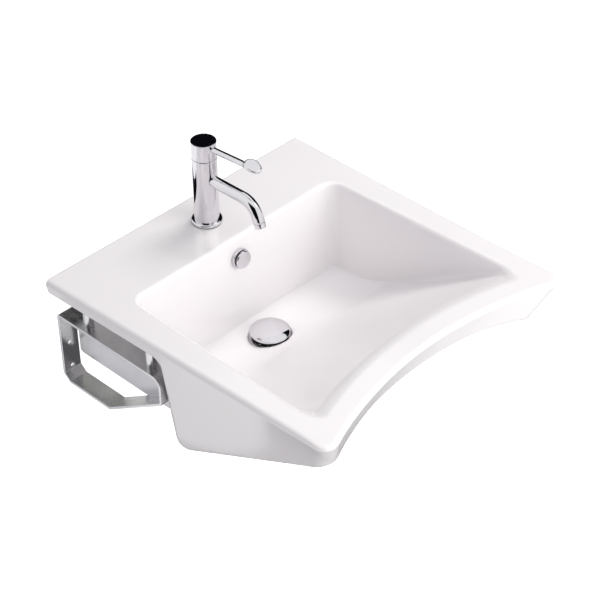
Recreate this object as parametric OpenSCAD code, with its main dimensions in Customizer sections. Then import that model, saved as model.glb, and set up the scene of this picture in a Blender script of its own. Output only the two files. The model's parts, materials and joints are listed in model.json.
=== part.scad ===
// Wall-hung basin with a side-lever tap, a press-to-open waste and two steel wall brackets.
// Units are millimetres. X is to the right, the front is -Y, Z is up.
// The wall is the plane y = 0. z = 0 is the middle height of the four wall screw holes.

/* [Basin] */
// Width of the basin along the wall
basin_width = 600; // [560:5:660]
// Depth from the wall to the front corners
basin_depth = 617; // [590:5:660]
// How much narrower each side is at the front corners
side_taper = 15; // [0:1:25]
// Thickness of the deck and its side wings
deck_thick = 32; // [28:1:36]
// How far the hollowed front edge curves back at the middle
front_hollow = 64; // [40:1:75]
// Depth of the bowl floor under the rim
bowl_depth = 174; // [150:1:180]
// Width of the deck on each side of the bowl opening
side_rim = 63; // [60:1:90]

/* [Tap] */
// Diameter of the tap body and lever head
tap_dia = 44; // [40:1:50]
// Height of the tap over the deck
tap_height = 163; // [158:1:185]
// Distance from the tap axis to the spout mouth
spout_reach = 130; // [115:1:150]
// Distance from the tap axis to the lever tip
lever_reach = 131; // [110:1:160]

/* [Waste] */
// Diameter of the domed waste cap
cap_dia = 72; // [66:1:74]
// Diameter of the overflow ring
overflow_dia = 37; // [35:1:44]
// Travel of the cap from open to closed
cap_travel = 6; // [4:0.5:6.5]

/* [Brackets] */
// Gap between each bracket and the shell of the bowl
bracket_gap = 3; // [2:0.5:8]
// Width of the flat bracket strap
strap_width = 36; // [30:1:42]
// Thickness of the bracket strap and its web plate
strap_thick = 5; // [4:0.5:6]
// Distance from the wall to the front of the bracket
bracket_reach = 254; // [235:1:255]
// Height of the bracket loop
bracket_height = 143; // [130:1:150]
// Height of the spacers between the brackets and the basin
spacer_height = 45; // [40:1:50]

/* [Hidden] */
$fn = 64;

// Heights. The rim top lies rim_z above the origin, and every module below works from the rim top.
hole_gap = 50;
bracket_top = -(deck_thick + 3 + spacer_height);
bracket_low = bracket_top - bracket_height;
hole_low = bracket_low + 23;
hole_mid = hole_low + hole_gap / 2;
rim_z = -hole_mid;
hole_r = 4.25;

// Basin outline
half_w = basin_width / 2;
front_mid = basin_depth - front_hollow;
front_half = half_w - side_taper;
front_r = (front_half * front_half + front_hollow * front_hollow) / (2 * front_hollow);
front_cy = -(front_mid + front_r);
edge_r = 9;
under_r = 6;
front_corner = 30;
skirt_in = 45;
skirt_wall = 23;
skirt_back = bracket_reach + 5;
skirt_foot = skirt_back - 7;
skirt_start = skirt_back - 24;
skirt_low = bowl_depth + 73;
skirt_round = 11;
front_low = 73;
front_lean = 0.13;
apron_low = 58;
apron_in = 0.7;
apron_back = 48;
under_thick = 18;

// Bowl
bowl_half = half_w - side_rim;
bowl_front_half = bowl_half + 7;
bowl_back = 146;
rim_front = 36;
bowl_front_r = front_r + rim_front;
floor_half = bowl_half - 8;
floor_back = 162;
floor_front = 250;
waste_y = -221;
shell_half = bowl_half + 8.5;
shell_back = 132;
shell_corner = 22;
channel_back = 124;
channel_half = 34;

// Tap
tap_y = -73.5;
tap_r = tap_dia / 2;
hole_tap_r = 17.5;
head_low = tap_height - 31;
spout_z = 91;
spout_r = 10.5;
spout_root = 15.6;
spout_bore = 8;
aerator_length = 9;
seam_step = 0.02;
spout_bend = 35;
spout_turn = 71;
mouth_z = 49;
arm_r = 5.4;
arm_rise = 3;
arm_root = 13;
spoon_long = 38;
tail_low = -190;
tail_neck = -60;
tail_r = 5;
tail_neck_r = tail_r - 0.6;
tail_bore = tail_r - 1.3;
tail_x = 8;
tail_y = 5;
stud_y = -12.5;
stud_low = -62;
stud_r = 4;
cartridge_r = 15;
cartridge_low = head_low - 28;

// Waste
waste_r = 20.95;
waste_shank_r = waste_r - 0.65;
waste_flange_r = 32;
waste_thread = 44;
floor_z = -bowl_depth;
boss_low = floor_z - 28;
waste_low = boss_low - 62;
waste_seal_high = 4;
waste_nut_high = 10;
stem_long = 46;
cap_z = cap_travel + 0.3;
cap_r = cap_dia / 2;
cap_seal_r = cap_r - 2;
cap_seal_high = 4.2;
cap_seal_in = cap_r - 12;

// Overflow
over_z = -41;
wall_lean = atan((floor_back - bowl_back) / bowl_depth);
over_y = -(bowl_back + (floor_back - bowl_back) * -over_z / bowl_depth);
over_r = overflow_dia / 2;
over_step = 4.4;
over_bore = 10.6;

// Brackets
bracket_x = shell_half + bracket_gap + strap_width / 2;
spacer_back = 62;
spacer_inset = 39;
spacer_y = [-spacer_back, -(bracket_reach - spacer_inset)];
bolt_way_r = 5.4;
web_height = 91;
spacer_r = 9;
bolt_r = 4.9;
plug_hole_r = 7;
plug_deep = 20;

// Lines, curves and lofts
function lerp(a, b, t) = a + (b - a) * t;
function bez(a, b, c, t) = a * (1 - t) * (1 - t) + b * 2 * t * (1 - t) + c * t * t;
function unit(v) = v / max(norm(v), 0.0001);
function corner(a, b, c, n) = [for (i = [0:n]) bez(a, b, c, i / n)];
function side_x(y, e) = half_w - side_taper * (-y) / basin_depth - e;
function arc_y(x, r) = front_cy + sqrt(r * r - x * x);
function flip(p) = [for (i = [len(p) - 1:-1:0]) [-p[i].x, for (k = [1:len(p[i]) - 1]) p[i][k]]];
// Closed loop from its first point, the points on one side, its last point and their mirror image
function full_loop(h, first, last) = concat([first], h, [last], flip(h));

// The right half of the basin outline, set in by e, between the middles of the back and front edges
function half_outline(e) = let (
    rb = 6,
    xb = side_x(0, e),
    xc = front_half - e,
    yc = arc_y(xc, front_r + e),
    ys = yc + front_corner,
    xa = xc - front_corner * 0.92)
  concat(
    [[xb / 2, -e]],
    corner([xb - rb, -e], [xb, -e], [side_x(-e - rb, e), -e - rb], 4),
    [[side_x(-200, e), -200]],
    [[side_x(-400, e), -400]],
    corner([side_x(ys, e), ys], [xc, yc], [xa, arc_y(xa, front_r + e)], 6),
    [for (i = [7:-1:1]) let (x = xa * i / 8) [x, arc_y(x, front_r + e)]]);
function outline(e) = full_loop(half_outline(e), [0, -e], [0, front_cy + front_r + e]);

// Skin over mirror-symmetric loops with as many points each, clockwise from above, from the top down
module skin(loops) {
  n = len(loops[0]);
  m = len(loops);
  centres = [for (l = [loops[0], loops[m - 1]]) (l[0] + l[n / 2]) / 2];
  pts = concat([for (l = loops) for (p = l) p], centres);
  walls = [for (j = [0:m - 2]) for (i = [0:n - 1]) let (k = (i + 1) % n)
    each [[j * n + i, (j + 1) * n + i, (j + 1) * n + k], [j * n + i, (j + 1) * n + k, j * n + k]]];
  top = [for (i = [0:n - 1]) [i, (i + 1) % n, m * n]];
  base = [for (i = [0:n - 1]) [(m - 1) * n + (i + 1) % n, (m - 1) * n + i, m * n + 1]];
  polyhedron(pts, concat(walls, top, base));
}

// Deck slab with rounded edges
function deck_profile() = concat(
  [for (k = [0:4]) let (a = 22.5 * k) [edge_r * (1 - sin(a)), -edge_r * (1 - cos(a))]],
  [for (k = [0:4]) let (a = 22.5 * k) [under_r * (1 - cos(a)), -deck_thick + under_r * (1 - sin(a))]]);
module deck_slab() {
  difference() {
    skin([for (p = deck_profile()) [for (q = outline(p[0])) [q[0], q[1], p[1]]]]);
    translate([-half_w - 5, -basin_depth - 20, -100])
      cube([2 * half_w + 10, basin_depth + 28 - skirt_back, 100 - edge_r - 0.4]);
  }
}

// Side skirts and front apron: flat sides that lean in, a bottom edge that rises to the front
skirt_slope = (skirt_low - front_low) / (basin_depth - 25 - skirt_foot);
function skirt_z(y) = -skirt_low + skirt_slope * (-y - skirt_foot);
function skirt_section(y) = let (
    xs = side_x(y, 0),
    xb = half_w - skirt_in,
    zb = skirt_z(y),
    u = unit([xs - xb, -edge_r - zb]),
    a = [xb, zb] + u * skirt_round,
    c = corner(a, [xb, zb], [xb - 14, zb], 5),
    left = concat([[-xs, y, -edge_r]], [for (q = c) [-q[0], y, q[1]]]))
  full_loop(left, [0, y, -edge_r], [0, y, zb]);
module side_profile() {
  b = [-skirt_foot, -skirt_low];
  up = unit([skirt_foot - skirt_back, skirt_low - deck_thick]);
  fwd = unit([-1, skirt_slope]);
  rotate([90, 0, 90]) translate([0, 0, -half_w - 5]) linear_extrude(2 * half_w + 10)
    polygon(concat(
      [[-skirt_back + 16, -edge_r], [-skirt_back + 16, -deck_thick]],
      corner([-skirt_back + 15, -deck_thick], [-skirt_back, -deck_thick], [-skirt_back, -deck_thick - 15], 5),
      corner(b + up * 34, b, b + fwd * 36, 7),
      [[-700, skirt_z(-700)], [-700, -edge_r]]));
}
module knee_recess() {
  w = half_w - skirt_in - skirt_wall;
  rotate([90, 0, 90]) translate([0, 0, -w]) linear_extrude(2 * w)
    polygon([[-skirt_start, floor_z - under_thick], [-floor_front, floor_z - under_thick],
      [-front_mid + apron_back, -apron_low - 4],
      [-front_mid + 5, -apron_low], [-front_mid - 20, -apron_low - 11], [-basin_depth - 10, -apron_low - 34],
      [-basin_depth - 10, -400], [-skirt_start, -400]]);
}
module skirts() {
  difference() {
    intersection() {
      skin([for (k = [0:9]) skirt_section(-skirt_start - (basin_depth - skirt_start + 10) * k / 9)]);
      side_profile();
      translate([0, 0, -400]) linear_extrude(400 - edge_r) polygon(outline(0));
    }
    translate([0, front_cy, -400])
      cylinder(h = 400, r1 = front_r + apron_in + 400 * front_lean, r2 = front_r + apron_in, $fn = 360);
    knee_recess();
  }
}

// Shell round the back of the bowl, with the overflow channel behind it
module bowl_shell() {
  hull() {
    for (s = [-1, 1]) {
      for (y = [-shell_back - shell_corner, -floor_front - 20])
        translate([s * (shell_half - shell_corner), y, -40]) cylinder(h = 30, r = shell_corner, $fn = 32);
      for (y = [-shell_back - shell_corner - 4, -floor_front - 12])
        translate([s * (shell_half - shell_corner - 4), y, floor_z + 4])
          sphere(r = shell_corner - 2, $fn = 32);
    }
  }
  hull() {
    for (s = [-1, 1]) {
      translate([s * (channel_half - 10), -channel_back, floor_z - under_thick])
        cylinder(h = -floor_z - 4, r = 10, $fn = 24);
      translate([s * (channel_half - 10), waste_y + 20, floor_z - under_thick])
        cylinder(h = 40, r = 10, $fn = 24);
    }
  }
  translate([-channel_half, waste_y, boss_low]) cube([2 * channel_half, -channel_back - waste_y, 26]);
  translate([0, waste_y, boss_low]) cylinder(h = 26, r = 40);
}

// The bowl, cut out of the casting
function bowl_top_half() = let (
    bw = bowl_half,
    bf = bowl_front_half,
    yf = arc_y(bf, bowl_front_r))
  concat(
    [for (t = [0.3, 0.62, 0.88]) [(bw - 20) * t, -bowl_back]],
    corner([bw - 22, -bowl_back], [bw, -bowl_back], [bw, -bowl_back - 22], 5),
    [for (t = [0.25, 0.5, 0.75]) [lerp(bw, bf, t), lerp(-bowl_back - 22, yf + 30, t)]],
    corner([bf, yf + 30], [bf, yf], [bf - 30, arc_y(bf - 30, bowl_front_r)], 5),
    [for (i = [6:-1:1]) let (x = (bf - 30) * i / 7) [x, arc_y(x, bowl_front_r)]]);
function bowl_floor_half() = let (fw = floor_half)
  concat(
    [for (t = [0.3, 0.62, 0.88]) [(fw - 20) * t, -floor_back]],
    corner([fw - 22, -floor_back], [fw, -floor_back], [fw, -floor_back - 22], 5),
    [for (t = [0.25, 0.5, 0.75]) [fw, lerp(-floor_back - 22, -floor_front + 18, t)]],
    corner([fw, -floor_front + 18], [fw, -floor_front], [fw - 18, -floor_front], 5),
    [for (i = [6:-1:1]) [(fw - 18) * i / 7, -floor_front]]);
bowl_top = full_loop(bowl_top_half(), [0, -bowl_back], [0, front_cy + bowl_front_r]);
bowl_floor = full_loop(bowl_floor_half(), [0, -floor_back], [0, -floor_front]);
// Length of the blend from a wall into the floor: short at the back and sides, long at the front ramp
function floor_blend(y) = lerp(10, 56, min(1, max(0, (-y - 330) / 185)));
function bowl_line(i) = let (
    n = len(bowl_top),
    v2 = bowl_top[i],
    d = bowl_top[(i + 1) % n] - bowl_top[(i + n - 1) % n],
    out = unit([-d[1], d[0]]),
    v = [v2[0], v2[1], 0],
    a = v + [out[0], out[1], 0] * 7,
    f = [bowl_floor[i][0], bowl_floor[i][1], floor_z],
    u = unit(f - v),
    b = floor_blend(v2[1]),
    c = v + u * 9,
    e = f - u * b,
    mid = [0, -206, floor_z],
    g = f + unit(mid - f) * min(b, 28))
  [a + [0, 0, 3], a, bez(a, v, c, 0.35), bez(a, v, c, 0.7), c, lerp(c, e, 0.33), lerp(c, e, 0.67), e,
    bez(e, f, g, 0.25), bez(e, f, g, 0.5), bez(e, f, g, 0.75), g];
bowl_lines = [for (i = [0:len(bowl_top) - 1]) bowl_line(i)];
module bowl_cut() {
  skin([for (k = [0:11]) [for (l = bowl_lines) l[k]]]);
}

// Places the overflow pieces on the back wall of the bowl, +Z pointing out of the wall
module at_overflow() {
  translate([0, over_y, over_z]) rotate([90 - wall_lean, 0, 0]) children();
}

module basin() {
  color([0.96, 0.96, 0.95])
  translate([0, 0, rim_z])
  difference() {
    union() {
      deck_slab();
      skirts();
      bowl_shell();
    }
    bowl_cut();
    translate([0, tap_y, -deck_thick - 1]) cylinder(h = deck_thick + 2, r = hole_tap_r);
    translate([0, waste_y, boss_low - 1]) cylinder(h = 40, r = 22.5);
    translate([0, waste_y, floor_z - 3]) cylinder(h = 9, r = 34);
    translate([0, waste_y, floor_z]) cylinder(h = 9, r1 = 38, r2 = 44);
    at_overflow() translate([0, 0, -24]) cylinder(h = 30, r = 12.5);
    translate([-16, -channel_back - 13, boss_low + 8]) cube([32, 12, -boss_low - 28]);
    translate([-12, waste_y, boss_low + 8]) cube([24, -waste_y - channel_back - 2, 10]);
    for (s = [-1, 1]) for (y = spacer_y)
      translate([s * bracket_x, y, -deck_thick - 1]) cylinder(h = plug_deep + 1, r = plug_hole_r);
  }
}

// Overflow fittings
module overflow_sleeve() {
  color([0.85, 0.85, 0.83])
  translate([0, 0, rim_z]) at_overflow()
  difference() {
    translate([0, 0, -11]) cylinder(h = 11, r = 12.4);
    translate([0, 0, -12]) cylinder(h = 13, r = over_bore);
  }
}
module overflow_ring() {
  color([0.78, 0.8, 0.82])
  translate([0, 0, rim_z]) at_overflow()
  rotate_extrude() polygon([[over_bore, 0], [over_r, 0], [over_r, 4.4], [over_r - 0.5, 5.7],
    [over_r - 1.6, 6.5], [over_r - 3, 6.7], [14.2, 6.2], [13.2, over_step], [over_bore, over_step]]);
}
module overflow_cover() {
  color([0.8, 0.82, 0.84])
  translate([0, 0, rim_z]) at_overflow() {
    rotate_extrude()
      polygon([[0, 9.4], [15.2, 9.4], [16.6, 10], [16.8, 11.2], [16, 12.5], [12.6, 13.3], [0, 13.8]]);
    for (a = [90, 210, 330]) rotate([0, 0, a]) {
      translate([11.7, 0, over_step]) cylinder(h = 5.2, r = 1, $fn = 16);
      translate([over_bore - 0.9, -1.5, -9]) cube([0.7, 3, 18.6]);
    }
  }
}

// Waste outlet
module at_waste() {
  translate([0, waste_y, rim_z + floor_z]) children();
}
module waste_body() {
  color([0.75, 0.77, 0.8])
  at_waste() difference() {
    union() {
      translate([0, 0, -1.5]) cylinder(h = 1.6, r = waste_flange_r);
      translate([0, 0, waste_low - floor_z]) cylinder(h = floor_z - waste_low, r = waste_shank_r);
      translate([0, 0, waste_low - floor_z]) cylinder(h = waste_thread, r = waste_r);
    }
    translate([0, 0, waste_low - floor_z - 1]) cylinder(h = floor_z - waste_low - 3, r = 17.5);
    translate([0, 0, -5]) cylinder(h = 6, r1 = 17.5, r2 = 23);
    for (a = [0, 90]) rotate([0, 0, a]) translate([-30, -6, -20]) cube([60, 12, 10]);
  }
}
module waste_seal_top() {
  color([0.12, 0.12, 0.12])
  at_waste() translate([0, 0, -3]) difference() {
    cylinder(h = 1.5, r = waste_flange_r + 1);
    translate([0, 0, -1]) cylinder(h = 4, r = waste_shank_r + 0.15);
  }
}
module waste_seal_bottom() {
  color([0.12, 0.12, 0.12])
  at_waste() translate([0, 0, boss_low - floor_z - waste_seal_high]) difference() {
    cylinder(h = waste_seal_high, r = waste_flange_r - 1);
    translate([0, 0, -1]) cylinder(h = waste_seal_high + 2, r = waste_shank_r + 0.15);
  }
}
module waste_nut() {
  color([0.8, 0.65, 0.35])
  at_waste() translate([0, 0, boss_low - floor_z - waste_seal_high - waste_nut_high]) difference() {
    union() {
      translate([0, 0, waste_nut_high - 3]) cylinder(h = 3, r = waste_flange_r);
      cylinder(h = waste_nut_high - 2, r = waste_flange_r, $fn = 6);
    }
    translate([0, 0, -1]) cylinder(h = waste_nut_high + 2, r = waste_shank_r + 0.1);
  }
}
module plug_guide() {
  color([0.9, 0.9, 0.88])
  at_waste() difference() {
    union() {
      translate([0, 0, -30]) cylinder(h = 26, r = 8);
      for (a = [45, 135]) rotate([0, 0, a]) translate([-17.4, -1.5, -12]) cube([34.8, 3, 6]);
    }
    translate([0, 0, -31]) cylinder(h = 28, r = 3.05);
  }
}
module plug_cap() {
  color([0.8, 0.82, 0.84])
  at_waste() translate([0, 0, cap_z + cap_seal_high])
    rotate_extrude() polygon(concat([[0, 0], [cap_r - 0.6, 0], [cap_r, 0.6], [cap_r, 1.4]],
      [for (i = [0:6]) let (t = i / 7) [(cap_r - 0.5) * cos(90 * t), 2 + 3.4 * sin(90 * t)]], [[0, 5.4]]));
}
module plug_stem() {
  color([0.7, 0.72, 0.75])
  at_waste() translate([0, 0, cap_z]) {
    translate([0, 0, -stem_long]) cylinder(h = stem_long + cap_seal_high, r = 3);
    translate([0, 0, -stem_long]) cylinder(h = 3, r = 5);
    translate([0, 0, cap_seal_high - 2]) cylinder(h = 2, r = 7);
  }
}
module plug_seal() {
  color([0.1, 0.1, 0.1])
  at_waste() translate([0, 0, cap_z])
    rotate_extrude() polygon([[cap_seal_in, 0.6], [cap_seal_r - 1.5, 0], [cap_seal_r, 1],
      [cap_seal_r, cap_seal_high], [cap_seal_in, cap_seal_high]]);
}

// Tap
module at_tap() {
  translate([0, tap_y, rim_z]) children();
}
module tap_gasket() {
  color([0.1, 0.1, 0.1])
  at_tap() difference() {
    cylinder(h = 1.5, r = tap_r + 4);
    translate([0, 0, -1]) cylinder(h = 4, r = 18);
  }
}
module tap_base_ring() {
  color([0.8, 0.82, 0.84])
  at_tap() rotate_extrude() polygon([[tap_r + 0.1, 1.5], [tap_r + 5, 1.5], [tap_r + 5, 4.6],
    [tap_r + 4.4, 6], [tap_r + 3, 6.8], [tap_r + 0.1, 7]]);
}
module tap_body() {
  color([0.8, 0.82, 0.84])
  at_tap() difference() {
    translate([0, 0, 1.5]) cylinder(h = head_low - 2.1, r = tap_r);
    translate([0, 0, cartridge_low]) cylinder(h = 60, r = cartridge_r + 0.1);
    translate([0, 0, 30]) cylinder(h = cartridge_low - 29, r = 6);
    translate([0, 0, spout_z]) rotate([90, 0, 0]) cylinder(h = tap_r + 2, r = spout_bore);
    translate([0, -spout_root, spout_z]) rotate([90, 0, 0]) cylinder(h = tap_r, r = spout_r + 0.1);
    for (s = [-1, 1]) translate([s * tail_x, tail_y, 0]) {
      cylinder(h = 14, r = tail_neck_r + 0.05);
      cylinder(h = 32, r = 3.5);
    }
    translate([0, stud_y, 0]) cylinder(h = 14, r = stud_r + 0.05);
  }
}
spout_tail = (spout_z - mouth_z - spout_bend * (1 - cos(spout_turn))) / sin(spout_turn);
spout_start = spout_reach - spout_bend * sin(spout_turn) - spout_tail * cos(spout_turn);
// Places its children at the end of the spout bend, +Z pointing out along the last straight
module at_spout_end() {
  translate([0, -spout_start - spout_bend * sin(spout_turn), spout_z - spout_bend * (1 - cos(spout_turn))])
    rotate([90 + spout_turn, 0, 0]) children();
}
module spout_tube(length) {
  difference() {
    cylinder(h = length, r = spout_r);
    translate([0, 0, -1]) cylinder(h = length + 2, r = spout_bore);
  }
}
module spout() {
  color([0.8, 0.82, 0.84])
  at_tap() {
    translate([0, -spout_root - 0.1, spout_z]) rotate([90, 0, 0]) spout_tube(spout_start - spout_root);
    translate([0, -spout_start, spout_z - spout_bend]) rotate([0, 0, 180]) rotate([0, -90, 0])
      rotate_extrude(angle = spout_turn) translate([spout_bend, 0]) difference() {
        circle(r = spout_r - seam_step);
        circle(r = spout_bore + seam_step);
      }
    at_spout_end() translate([0, 0, -0.1]) spout_tube(spout_tail - aerator_length + 0.1);
  }
}
module aerator_ring() {
  color([0.8, 0.82, 0.84])
  at_tap() at_spout_end() translate([0, 0, spout_tail - aerator_length]) difference() {
    union() {
      cylinder(h = 8.2, r = spout_r);
      translate([0, 0, 8.2]) cylinder(h = 0.8, r1 = spout_r, r2 = spout_r - 0.8);
    }
    translate([0, 0, -1]) cylinder(h = 8.6, r = 8.6);
    cylinder(h = 12, r = 7.6);
  }
}
module aerator_insert() {
  color([0.75, 0.76, 0.78])
  at_tap() at_spout_end() translate([0, 0, spout_tail - aerator_length + 0.5]) difference() {
    cylinder(h = 7.1, r = 8.5);
    for (a = [0:60:300]) rotate([0, 0, a]) translate([4.6, 0, 3]) cylinder(h = 6, r = 1.5, $fn = 16);
    translate([0, 0, 3]) cylinder(h = 6, r = 1.6, $fn = 16);
    translate([0, 0, -1]) cylinder(h = 3, r = 7);
  }
}
module cartridge() {
  color([0.92, 0.92, 0.9])
  at_tap() difference() {
    union() {
      translate([0, 0, cartridge_low]) cylinder(h = 14, r = cartridge_r);
      translate([0, 0, cartridge_low + 12]) cylinder(h = 10, r = 8);
    }
    translate([0, 0, cartridge_low + 3.7]) cylinder(h = 40, r = 5.06);
    translate([0, 0, cartridge_low - 1]) cylinder(h = 3, r = 5);
  }
}
module cartridge_nut() {
  color([0.8, 0.65, 0.35])
  at_tap() translate([0, 0, cartridge_low + 14]) difference() {
    cylinder(h = 9, r = cartridge_r);
    translate([0, 0, -1]) cylinder(h = 12, r = 8.1);
    for (a = [0:90:270]) rotate([0, 0, a]) translate([10, -2, 5]) cube([6, 4, 5]);
  }
}
module cartridge_spindle() {
  color([0.8, 0.65, 0.35])
  at_tap() difference() {
    translate([0, 0, cartridge_low + 4]) cylinder(h = 42, r = 5);
    translate([-6, 3.6, head_low + 2]) cube([12, 4, 20]);
  }
}
arm_z = tap_height - 8.6;
// Places its children at the root of the lever arm, +Z pointing out along it
module at_arm() {
  translate([0, -arm_root, arm_z - 0.5]) rotate([90 - arm_rise, 0, 0]) children();
}
module lever_head() {
  color([0.8, 0.82, 0.84])
  at_tap() difference() {
    translate([0, 0, head_low]) cylinder(h = tap_height - 2 - head_low, r = tap_r);
    translate([0, 0, head_low - 1]) difference() {
      cylinder(h = 10, r = tap_r - 4);
      cylinder(h = 10, r = 9);
    }
    difference() {
      translate([0, 0, head_low - 1]) cylinder(h = 19, r = 5.02);
      translate([-6, 3.6, head_low + 2]) cube([12, 4, 20]);
    }
    translate([0, 3.6, head_low + 13]) rotate([-90, 0, 0]) cylinder(h = 30, r = 2.5, $fn = 32);
    at_arm() cylinder(h = 30, r = arm_r + 0.05);
  }
}
module lever_screw() {
  color([0.3, 0.3, 0.32])
  at_tap() translate([0, 3.6, head_low + 13]) rotate([-90, 0, 0]) difference() {
    cylinder(h = 12, r = 2.4, $fn = 32);
    translate([0, 0, 9]) cylinder(h = 4, r = 1.3, $fn = 6);
  }
}
module lever_cap() {
  color([0.08, 0.08, 0.09])
  at_tap() rotate_extrude() polygon([[0, tap_height - 2], [tap_r, tap_height - 2], [tap_r, tap_height - 0.7],
    [tap_r - 0.7, tap_height], [0, tap_height]]);
}
arm_len = lever_reach - arm_root - spoon_long;
module lever_arm() {
  color([0.8, 0.82, 0.84])
  at_tap() at_arm() {
    cylinder(h = arm_len, r = arm_r);
    hull() {
      translate([0, 0, arm_len - 4]) sphere(r = arm_r, $fn = 40);
      translate([0, 4.5, arm_len + 21]) rotate([111, 0, 0]) scale([1, 1, 0.3]) sphere(r = 13.3, $fn = 40);
      translate([0, 2.2, arm_len + 27]) rotate([111, 0, 0]) scale([1, 1, 0.3]) sphere(r = 12, $fn = 40);
    }
  }
}
module tap_stud() {
  color([0.6, 0.6, 0.62])
  at_tap() translate([0, stud_y, stud_low]) cylinder(h = 14 - stud_low, r = stud_r);
}
// Horseshoe plate that slips round the tails and over the stud
module horseshoe(h, r, big) {
  difference() {
    cylinder(h = h, r = r);
    translate([0, 8, -1]) cylinder(h = h + 2, r = big);
    translate([-big, 8, -1]) cube([2 * big, 40, h + 2]);
    translate([0, stud_y, -1]) cylinder(h = h + 2, r = stud_r + 0.2);
  }
}
module tap_under_gasket() {
  color([0.1, 0.1, 0.1])
  at_tap() translate([0, 0, -deck_thick - 3]) horseshoe(3, 25, 15);
}
module tap_washer() {
  color([0.7, 0.7, 0.72])
  at_tap() translate([0, 0, -deck_thick - 5.5]) horseshoe(2.5, 24, 15.4);
}
module tap_nut() {
  color([0.8, 0.65, 0.35])
  at_tap() translate([0, stud_y, -deck_thick - 17.5]) difference() {
    cylinder(h = 12, r = 6.4, $fn = 6);
    translate([0, 0, -1]) cylinder(h = 14, r = stud_r + 0.05);
  }
}
// Copper tail, drawn a little thinner where it runs up through the deck into the tap
module inlet_tail(s) {
  color([0.8, 0.5, 0.35])
  at_tap() translate([s * tail_x, tail_y, tail_low]) difference() {
    union() {
      cylinder(h = 14 - tail_low, r = tail_neck_r);
      cylinder(h = tail_neck - tail_low, r = tail_r);
    }
    translate([0, 0, -1]) cylinder(h = 18 - tail_low, r = tail_bore);
  }
}
module inlet_tail_hot() {
  inlet_tail(-1);
}
module inlet_tail_cold() {
  inlet_tail(1);
}

// Wall brackets
function loop_outline() = concat(
  corner([0, bracket_top - 5], [0, bracket_top], [-5, bracket_top], 3),
  corner([-bracket_reach + 24, bracket_top], [-bracket_reach + 1, bracket_top],
    [-bracket_reach, bracket_top - 16], 5),
  corner([-bracket_reach, bracket_top - 46], [-bracket_reach, bracket_top - 53],
    [-bracket_reach + 7, bracket_top - 57.6], 3),
  corner([-bracket_reach + 128, bracket_low + 5.3], [-bracket_reach + 136, bracket_low],
    [-bracket_reach + 145, bracket_low], 3),
  corner([-22, bracket_low], [-16, bracket_low], [-12, bracket_low + 3.5], 3),
  corner([-4, bracket_low + 11], [0, bracket_low + 15], [0, bracket_low + 21], 3));
module along_x(w) {
  rotate([90, 0, 90]) translate([0, 0, -w / 2]) linear_extrude(w) children();
}
module bracket(s) {
  color([0.8, 0.82, 0.84])
  translate([s * bracket_x, 0, rim_z]) difference() {
    along_x(strap_width) difference() {
      polygon(loop_outline());
      offset(delta = -strap_thick) polygon(loop_outline());
    }
    for (z = [hole_low, hole_low + hole_gap])
      translate([0, 1, z]) rotate([90, 0, 0]) cylinder(h = strap_thick + 2, r = hole_r);
    for (y = spacer_y)
      translate([0, y, bracket_top - strap_thick - 1]) cylinder(h = strap_thick + 2, r = bolt_way_r);
  }
}
module bracket_left() {
  bracket(-1);
}
module bracket_right() {
  bracket(1);
}
module web(s) {
  color([0.78, 0.8, 0.82])
  translate([s * (bracket_x - strap_width / 2 + strap_thick / 2), 0, rim_z])
    along_x(strap_thick) intersection() {
      offset(delta = -strap_thick) polygon(loop_outline());
      polygon([[-14, bracket_top], [-14, bracket_top - web_height + 5], [-19, bracket_top - web_height],
        [-bracket_reach, bracket_top - web_height], [-bracket_reach, bracket_top]]);
    }
}
module web_left() {
  web(-1);
}
module web_right() {
  web(1);
}
module spacers(s) {
  color([0.8, 0.82, 0.84])
  for (y = spacer_y) translate([s * bracket_x, y, rim_z + bracket_top]) difference() {
    cylinder(h = spacer_height, r = spacer_r);
    translate([0, 0, -1]) cylinder(h = spacer_height + 2, r = bolt_way_r);
  }
}
module spacers_left() {
  spacers(-1);
}
module spacers_right() {
  spacers(1);
}
module each_spacer() {
  for (s = [-1, 1]) for (y = spacer_y) translate([s * bracket_x, y, rim_z]) children();
}
module spacer_pads() {
  color([0.1, 0.1, 0.1])
  each_spacer() translate([0, 0, -deck_thick - 3]) difference() {
    cylinder(h = 3, r = spacer_r + 0.6);
    translate([0, 0, -1]) cylinder(h = 5, r = bolt_way_r);
  }
}
module spacer_bolts() {
  color([0.75, 0.76, 0.78])
  each_spacer() {
    translate([0, 0, bracket_top - strap_thick])
      cylinder(h = 15 - deck_thick - bracket_top + strap_thick, r = bolt_r);
    translate([0, 0, bracket_top - strap_thick - 6.4]) cylinder(h = 6.4, r = 9.2, $fn = 6);
  }
}
module bolt_plugs() {
  color([0.55, 0.55, 0.5])
  each_spacer() translate([0, 0, -deck_thick]) difference() {
    cylinder(h = plug_deep, r = plug_hole_r);
    translate([0, 0, -1]) cylinder(h = plug_deep - 3.5, r = bolt_r);
  }
}

basin();
overflow_sleeve();
overflow_ring();
overflow_cover();
waste_body();
waste_seal_top();
waste_seal_bottom();
waste_nut();
plug_guide();
plug_cap();
plug_stem();
plug_seal();
tap_gasket();
tap_base_ring();
tap_body();
spout();
aerator_ring();
aerator_insert();
cartridge();
cartridge_nut();
cartridge_spindle();
lever_head();
lever_arm();
lever_cap();
lever_screw();
tap_stud();
tap_under_gasket();
tap_washer();
tap_nut();
inlet_tail_hot();
inlet_tail_cold();
bracket_left();
bracket_right();
web_left();
web_right();
spacers_left();
spacers_right();
spacer_pads();
spacer_bolts();
bolt_plugs();
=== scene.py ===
# A wall-hung basin with a lever tap, an overflow, a press-to-open waste and two steel wall brackets.
# Shapes are worked out in millimetres, from the middle of the basin's back edge at rim height.
# add_piece() puts them in the frame, in metres.
import json
import math
import bpy
import numpy as np
from mathutils import Matrix, Vector


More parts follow.
